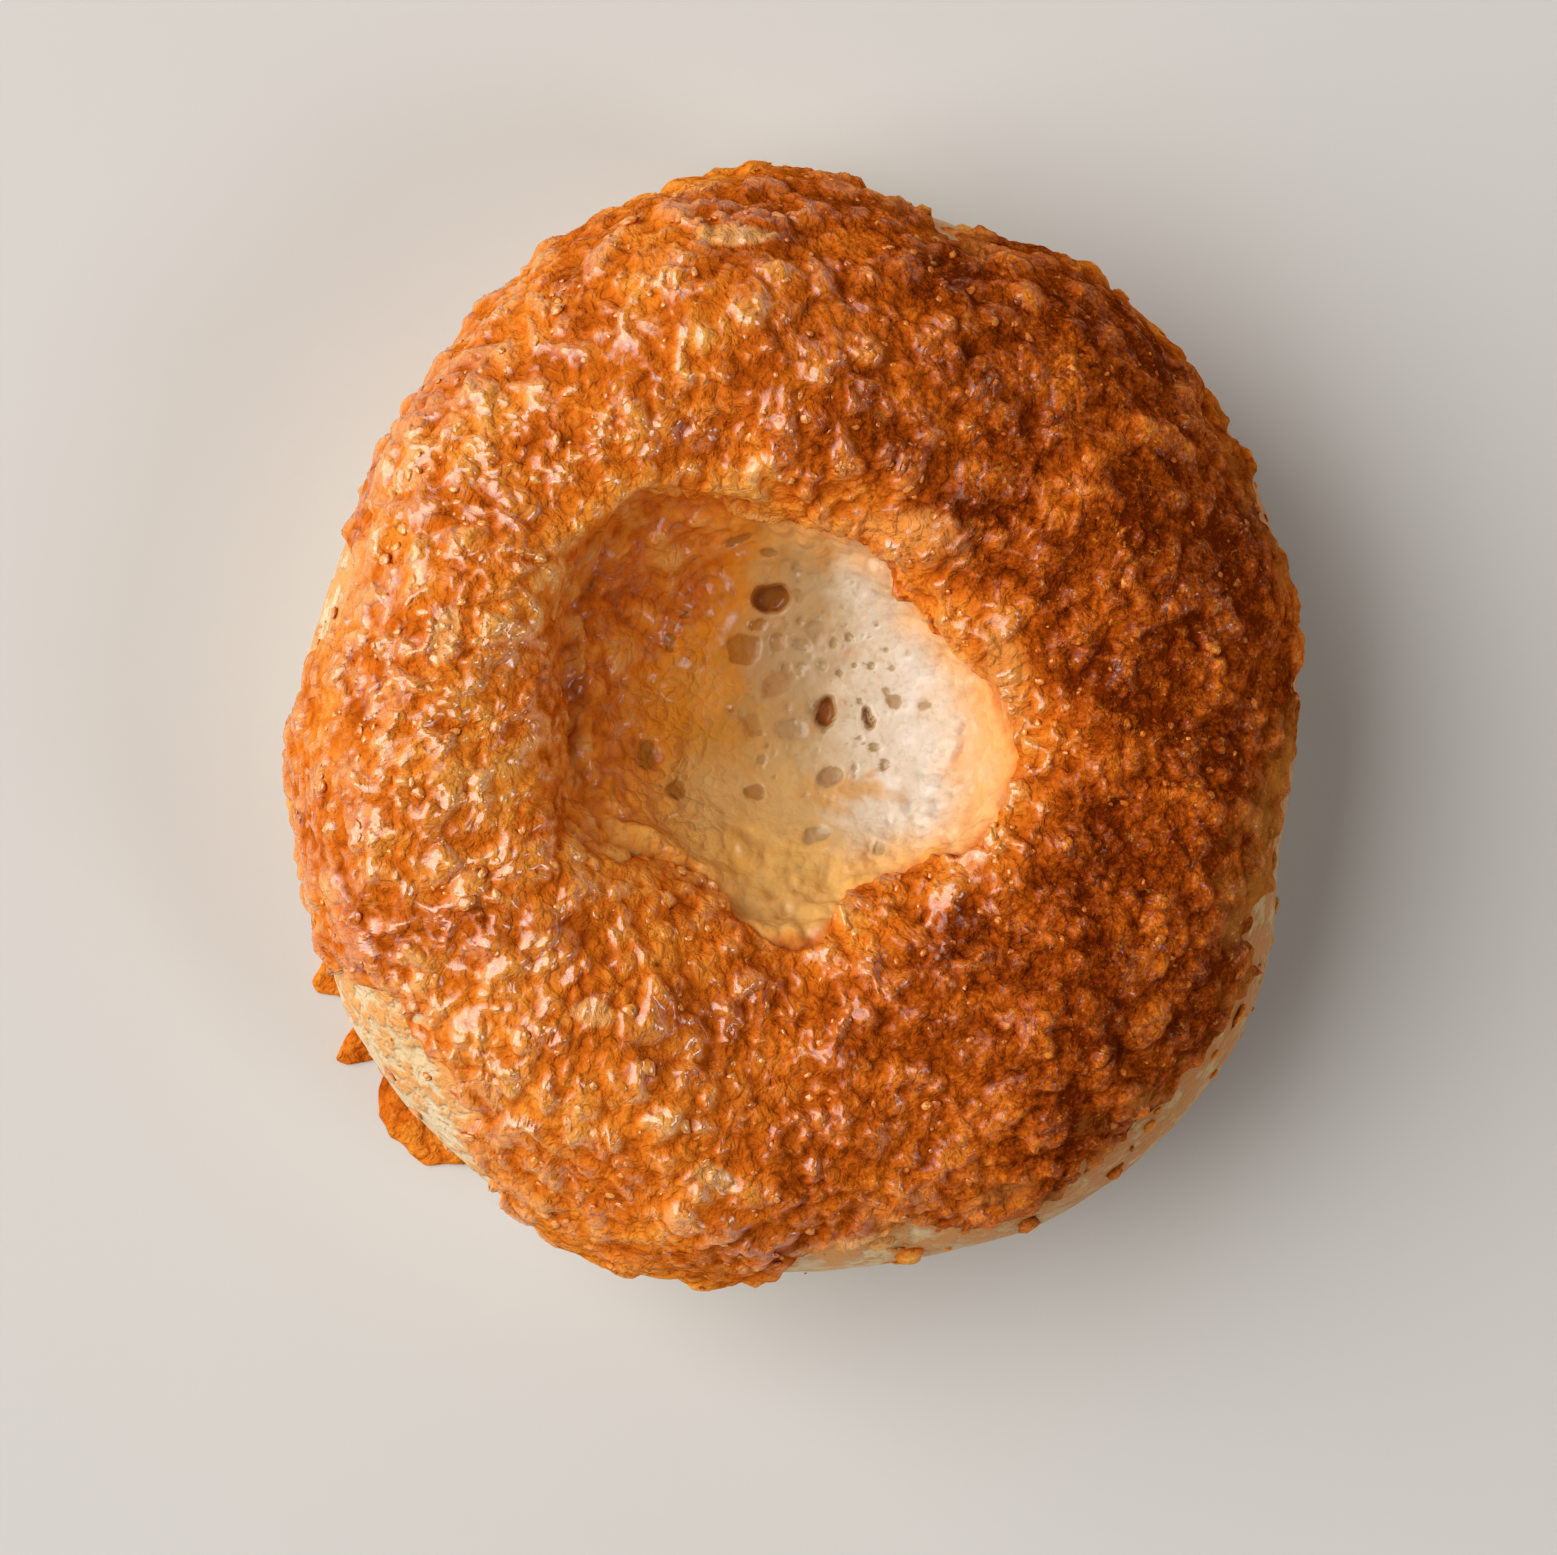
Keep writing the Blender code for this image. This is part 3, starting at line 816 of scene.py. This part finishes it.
# Each pillow reads its dents from noise this many cells per radius, this many cells from the last one's.
DENTS_PER_RADIUS, PILLOW_APART = 1.3, 7.7
ring_rise = (np.arange(BALL_RINGS) + 1) * np.pi / (BALL_RINGS + 1) - np.pi / 2
segment_turn = np.arange(BALL_SEGMENTS) * 2 * np.pi / BALL_SEGMENTS
ball_rings = (
    np.outer(np.cos(ring_rise), np.cos(segment_turn)),
    np.outer(np.cos(ring_rise), np.sin(segment_turn)),
    np.outer(np.sin(ring_rise), np.ones(BALL_SEGMENTS)),
)
BALL = np.concatenate((np.stack(ball_rings, -1).reshape(-1, 3), ((0, 0, -1), (0, 0, 1))))
segment, next_segment = np.arange(BALL_SEGMENTS), (np.arange(BALL_SEGMENTS) + 1) % BALL_SEGMENTS
last_ring = (BALL_RINGS - 1) * BALL_SEGMENTS
BALL_FANS = np.concatenate(
    (
        np.stack((0 * segment + len(BALL) - 2, next_segment, segment), -1),
        np.stack((0 * segment + len(BALL) - 1, last_ring + segment, last_ring + next_segment), -1),
    )
)


def pillows(name, places, normals, theta, halves, turned, dented, seed, **marks):
    """Many small pillows in one mesh. Each is a ball stretched to its half length, half width and half
    height, turned on the skin where it lies, and dented by noise. Each mark is one number per pillow."""
    around = np.stack((-np.sin(theta), np.cos(theta), 0 * theta), -1)
    around = around - normals * np.sum(around * normals, -1, keepdims=True)
    around = around / np.linalg.norm(around, axis=-1, keepdims=True)
    up_the_side = np.cross(normals, around)
    cos, sin = np.cos(turned)[:, None], np.sin(turned)[:, None]
    axes = np.stack((around * cos + up_the_side * sin, up_the_side * cos - around * sin, normals), 1)
    shape = np.broadcast_to(BALL, (len(places), *BALL.shape))
    apart = np.arange(len(places))[:, None, None] * PILLOW_APART
    shape = shape * (1 + dented * ripple(shape * DENTS_PER_RADIUS + apart, 1.0, seed))[..., None]
    points = places[:, None] + np.einsum("nbk,nkx->nbx", shape * halves[:, None], axes)
    first = np.arange(len(places))[:, None, None] * len(BALL)
    quads, fans = strips(BALL_RINGS, BALL_SEGMENTS).reshape(-1, 4) + first, BALL_FANS + first
    marks = {mark: np.broadcast_to(values[:, None], points.shape[:2]) for mark, values in marks.items()}
    # The shred mark is zero on each pillow's lower half, so the cheese's colour darkens towards its foot:
    # painted shade.
    tops = np.broadcast_to(np.maximum(BALL[:, 2], 0) * 0.75, points.shape[:2])
    return mesh_piece(name, points, quads, [fans.reshape(-1, 3)], shred=tops, **marks)


def scattered(generator, number, wanted):
    """Cells of the coat's grid, drawn at random in proportion to their area times how wanted they are."""
    steps = [np.linalg.norm(np.gradient(coat, axis=axis), axis=-1) for axis in (0, 1)]
    share = (steps[0] * steps[1] * wanted).ravel()
    drawn = generator.choice(share.size, number, replace=False, p=share / share.sum())
    return np.unravel_index(drawn, wanted.shape)


generator = np.random.default_rng(11)
spot = scattered(generator, BIT_COUNT, (cover > 0.97) * (1 - 0.75 * inward * gentle) * (1 - 0.7 * thin))
half_length = generator.lognormal(np.log(BIT_HALF_LENGTH), 0.38, BIT_COUNT).clip(0.25, 1.2)
half_width = half_length * generator.uniform(0.5, 0.9, BIT_COUNT)
half_height = half_width * generator.uniform(0.45, 0.75, BIT_COUNT)
crisp_bits = pillows(
    "crisp_bits",
    coat[spot] - normal[spot] * (half_height * BIT_SUNK * mm)[:, None],
    normal[spot],
    theta[spot],
    np.stack((half_length, half_width, half_height), -1) * mm,
    generator.uniform(0, np.pi, BIT_COUNT),
    dented=0.45,
    seed=91,
    inward=inward[spot],
    thin=thin[spot],
    tone=generator.normal(0, 0.8, BIT_COUNT),
)
crisp_bits.data.materials.append(browned_cheese)
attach(crisp_bits, "root")
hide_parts("bagel")

# ----------------------------------------------------------------------------------------------------------
# Drips. Blobs of melted cheese ran past the coat's edge and set on the bare dough, with small spatters
# between them. They are joined in one mesh of pillows.
# ----------------------------------------------------------------------------------------------------------
# Each drip is (degrees round the bagel, station, half length, half width, half height, degrees turned).
DRIPS = (
    (282, 2.22, 2.6, 1.5, 0.9, 80),
    (279, 2.40, 1.5, 1.2, 0.8, 30),
    (295, 2.28, 1.5, 1.3, 0.9, 60),
    (306, 2.26, 1.1, 0.9, 0.6, 10),
    (312, 2.34, 0.9, 0.8, 0.5, 50),
    (328, 2.25, 1.2, 0.8, 0.5, 0),
    (77, 2.10, 1.4, 1.1, 0.9, 80),
    (67, 1.96, 2.8, 1.4, 1.0, 10),
    (72, 2.02, 1.3, 0.9, 0.7, 0),
    (198, 1.86, 1.8, 1.1, 1.3, 85),
    (219, 2.28, 1.0, 0.7, 0.4, 20),
    (224, 2.20, 1.4, 0.9, 0.5, 70),
    (229, 2.05, 1.1, 0.9, 0.5, 0),
    (157, 2.05, 1.3, 0.8, 0.5, 40),
)
# A typical spatter has this half length in millimetres.
SPATTER_COUNT, SPATTER_HALF_LENGTH = 130, 0.40
generator = np.random.default_rng(12)
degrees, drip_station, *drip_sizes, drip_turned = np.array(DRIPS).T
spatter_theta = generator.uniform(0, 2 * np.pi, SPATTER_COUNT)
spatter_station = lower_edge(spatter_theta) - generator.uniform(0.02, 0.6, SPATTER_COUNT)
spatter_size = generator.lognormal(np.log(SPATTER_HALF_LENGTH), 0.4, (SPATTER_COUNT, 1))
spatter_size = spatter_size * generator.uniform((0.8, 0.5, 0.3), (1.2, 0.9, 0.6), (SPATTER_COUNT, 3))
blob_theta = np.concatenate((np.radians(degrees), spatter_theta))
blob_station = np.concatenate((drip_station, spatter_station))
blob_normal = outward(blob_theta, blob_station)
cheese_drips = pillows(
    "cheese_drips",
    dough_skin(blob_theta, blob_station),
    blob_normal,
    blob_theta,
    np.concatenate((np.stack(drip_sizes, -1), spatter_size)) * mm,
    np.concatenate((np.radians(drip_turned), generator.uniform(0, np.pi, SPATTER_COUNT))),
    dented=0.5,
    seed=92,
    thin=np.full(blob_theta.size, 0.9),
    tone=generator.normal(-1.0, 1.5, blob_theta.size),
)
cheese_drips.data.materials.append(browned_cheese)
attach(cheese_drips, "root")
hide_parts("bagel")

# ----------------------------------------------------------------------------------------------------------
# Frill. Cheese that fell on the tray fried beside the bagel to a thin, lumpy, dark rim. It came away with the
# bagel, melted to its foot.
# ----------------------------------------------------------------------------------------------------------
# Each pair is (degrees round the bagel, millimetres from the ring's centre to the frill's edge).
FRILL_REACH = (
    (203.5, 55.0), (204.6, 59.4), (206.0, 61.0), (207.4, 61.0), (208.8, 59.4),
    (210.0, 58.0), (212.0, 58.2), (213.0, 61.2), (214.2, 63.0), (215.4, 62.4),
    (216.6, 59.6), (218.0, 59.2), (219.5, 61.6), (221.5, 63.2), (224.0, 63.8),
    (227.0, 63.7), (229.5, 62.8), (231.5, 60.6), (233.5, 56.5), (236.0, 50.0),
)
FRILL_INNER, FRILL_HEIGHT = 44.0 * mm, 1.8 * tall
FRILL_SECTIONS, FRILL_CORNERS = 160, 48
frill_degrees, frill_reach = np.array(FRILL_REACH).T
frill_share = np.linspace(0, 1, FRILL_SECTIONS)[:, None]
frill_theta = np.radians(frill_degrees[0] + (frill_degrees[-1] - frill_degrees[0]) * frill_share)
section = np.arange(FRILL_CORNERS)[None] * 2 * np.pi / FRILL_CORNERS
frill_rim = np.stack((np.cos(frill_theta), np.sin(frill_theta)), -1) * frill_reach.max() * mm
frill_rim = np.concatenate((frill_rim, np.zeros((FRILL_SECTIONS, 1, 1))), -1)
rim_radius = np.interp(np.degrees(frill_theta), frill_degrees, frill_reach) * mm
rim_radius = rim_radius + ripples(frill_rim, (0.5, 3, 71), (0.25, 1.3, 72)) * mm
radius = FRILL_INNER + (rim_radius - FRILL_INNER) * (1 - np.cos(section)) / 2
# The section is flat below and domed above, and the dome sinks to nothing at both ends of the frill.
dome = np.maximum(np.sin(section), 0) ** 0.8 * smooth(np.minimum(frill_share, 1 - frill_share) / 0.08)
frill = np.stack((radius * np.cos(frill_theta), radius * np.sin(frill_theta), 0 * radius), -1) + RING_CENTRE
frill_lumps = shred_lumps(frill, 2.4 * mm, (73, 74))
frill_tops = 0.75 * frill_lumps + 0.5 * ripple(frill, 3.2 * mm, 75)
frill[..., 2] += dome * (FRILL_HEIGHT * (0.6 + 0.5 * frill_share) + frill_tops * 1.3 * mm)
frill_tone = 1.5 + 0.8 * ripple(frill, 4 * mm, 76)
# Its shred mark darkens the colour between the frill's lumps: painted shade in the creases.
cheese_frill = closed_run("cheese_frill", frill, shred=frill_lumps * 0.35, tone=frill_tone)
cheese_frill.data.materials.append(browned_cheese)
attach(cheese_frill, "root")
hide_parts("bagel")

# ----------------------------------------------------------------------------------------------------------
# Floor, light and camera. A plain pale floor, one large soft light at the left, a weak lamp at the right, and
# a camera straight above.
# ----------------------------------------------------------------------------------------------------------
from mathutils import Vector

FLOOR_SIZE = 3.0
# The lamps face a point this far above the floor.
LAMP_AIM = 0.03
floor_corners = np.array(((-1, -1, 0), (1, -1, 0), (1, 1, 0), (-1, 1, 0))) * FLOOR_SIZE / 2
floor = mesh_piece("floor", floor_corners + (0, 0, LOW[2]), np.arange(4)[None])


def floor_finish(nodes):
    """Plain off-white, very slightly uneven."""
    return {"Base Color": nodes.noise(0.05, 2).mix((0.67, 0.645, 0.61), (0.69, 0.665, 0.63))}


floor.data.materials.append(paint("pale floor", floor_finish, Roughness=0.6, Specular_IOR_Level=0.2))


def add_light(name, place, size, power, colour):
    """A square area light that faces the middle of the bagel."""
    lamp = bpy.data.lights.new(name, "AREA")
    lamp.shape, lamp.size, lamp.energy, lamp.color = "SQUARE", size, power, colour
    made = bpy.data.objects.new(name, lamp)
    made.location = place
    made.rotation_euler = (Vector((0, 0, LAMP_AIM)) - Vector(place)).to_track_quat("-Z", "Y").to_euler()
    bpy.context.scene.collection.objects.link(made)


add_light("window", (-1.54, 0.24, 1.52), 2.4, 72.0, (1.0, 0.985, 0.965))
add_light("far lamp", (1.10, -0.55, 1.25), 0.45, 5.0, (0.94, 0.97, 1.0))
world = bpy.data.worlds.new("room")
bpy.context.scene.world = world
world.use_nodes = True
room = Socket(world.node_tree)
facing = room.node("TexCoord", output="Generated")
right, up = (room.node("SeparateXYZ", None, {"Vector": facing}, axis) for axis in "XZ")
# The room is light low down, more so at the right, and nearly black overhead.
glow = (up.step(0.55, -0.1) * (right * 0.3 + 0.8)).mix((0.02, 0.02, 0.02), (1.40, 1.37, 1.30))
world.node_tree.links.new(glow.output, world.node_tree.nodes["Background"].inputs["Color"])

CAMERA_HEIGHT, CAMERA_LENS, SENSOR_WIDTH = 0.4135, 85, 36
camera_data = bpy.data.cameras.new("camera")
camera_data.lens, camera_data.sensor_width = CAMERA_LENS, SENSOR_WIDTH
camera = bpy.data.objects.new("camera", camera_data)
camera.location = (-1.2 * mm, -5.6 * mm, CAMERA_HEIGHT)
bpy.context.scene.collection.objects.link(camera)
bpy.context.scene.camera = camera
bpy.context.scene.view_settings.view_transform = "Standard"
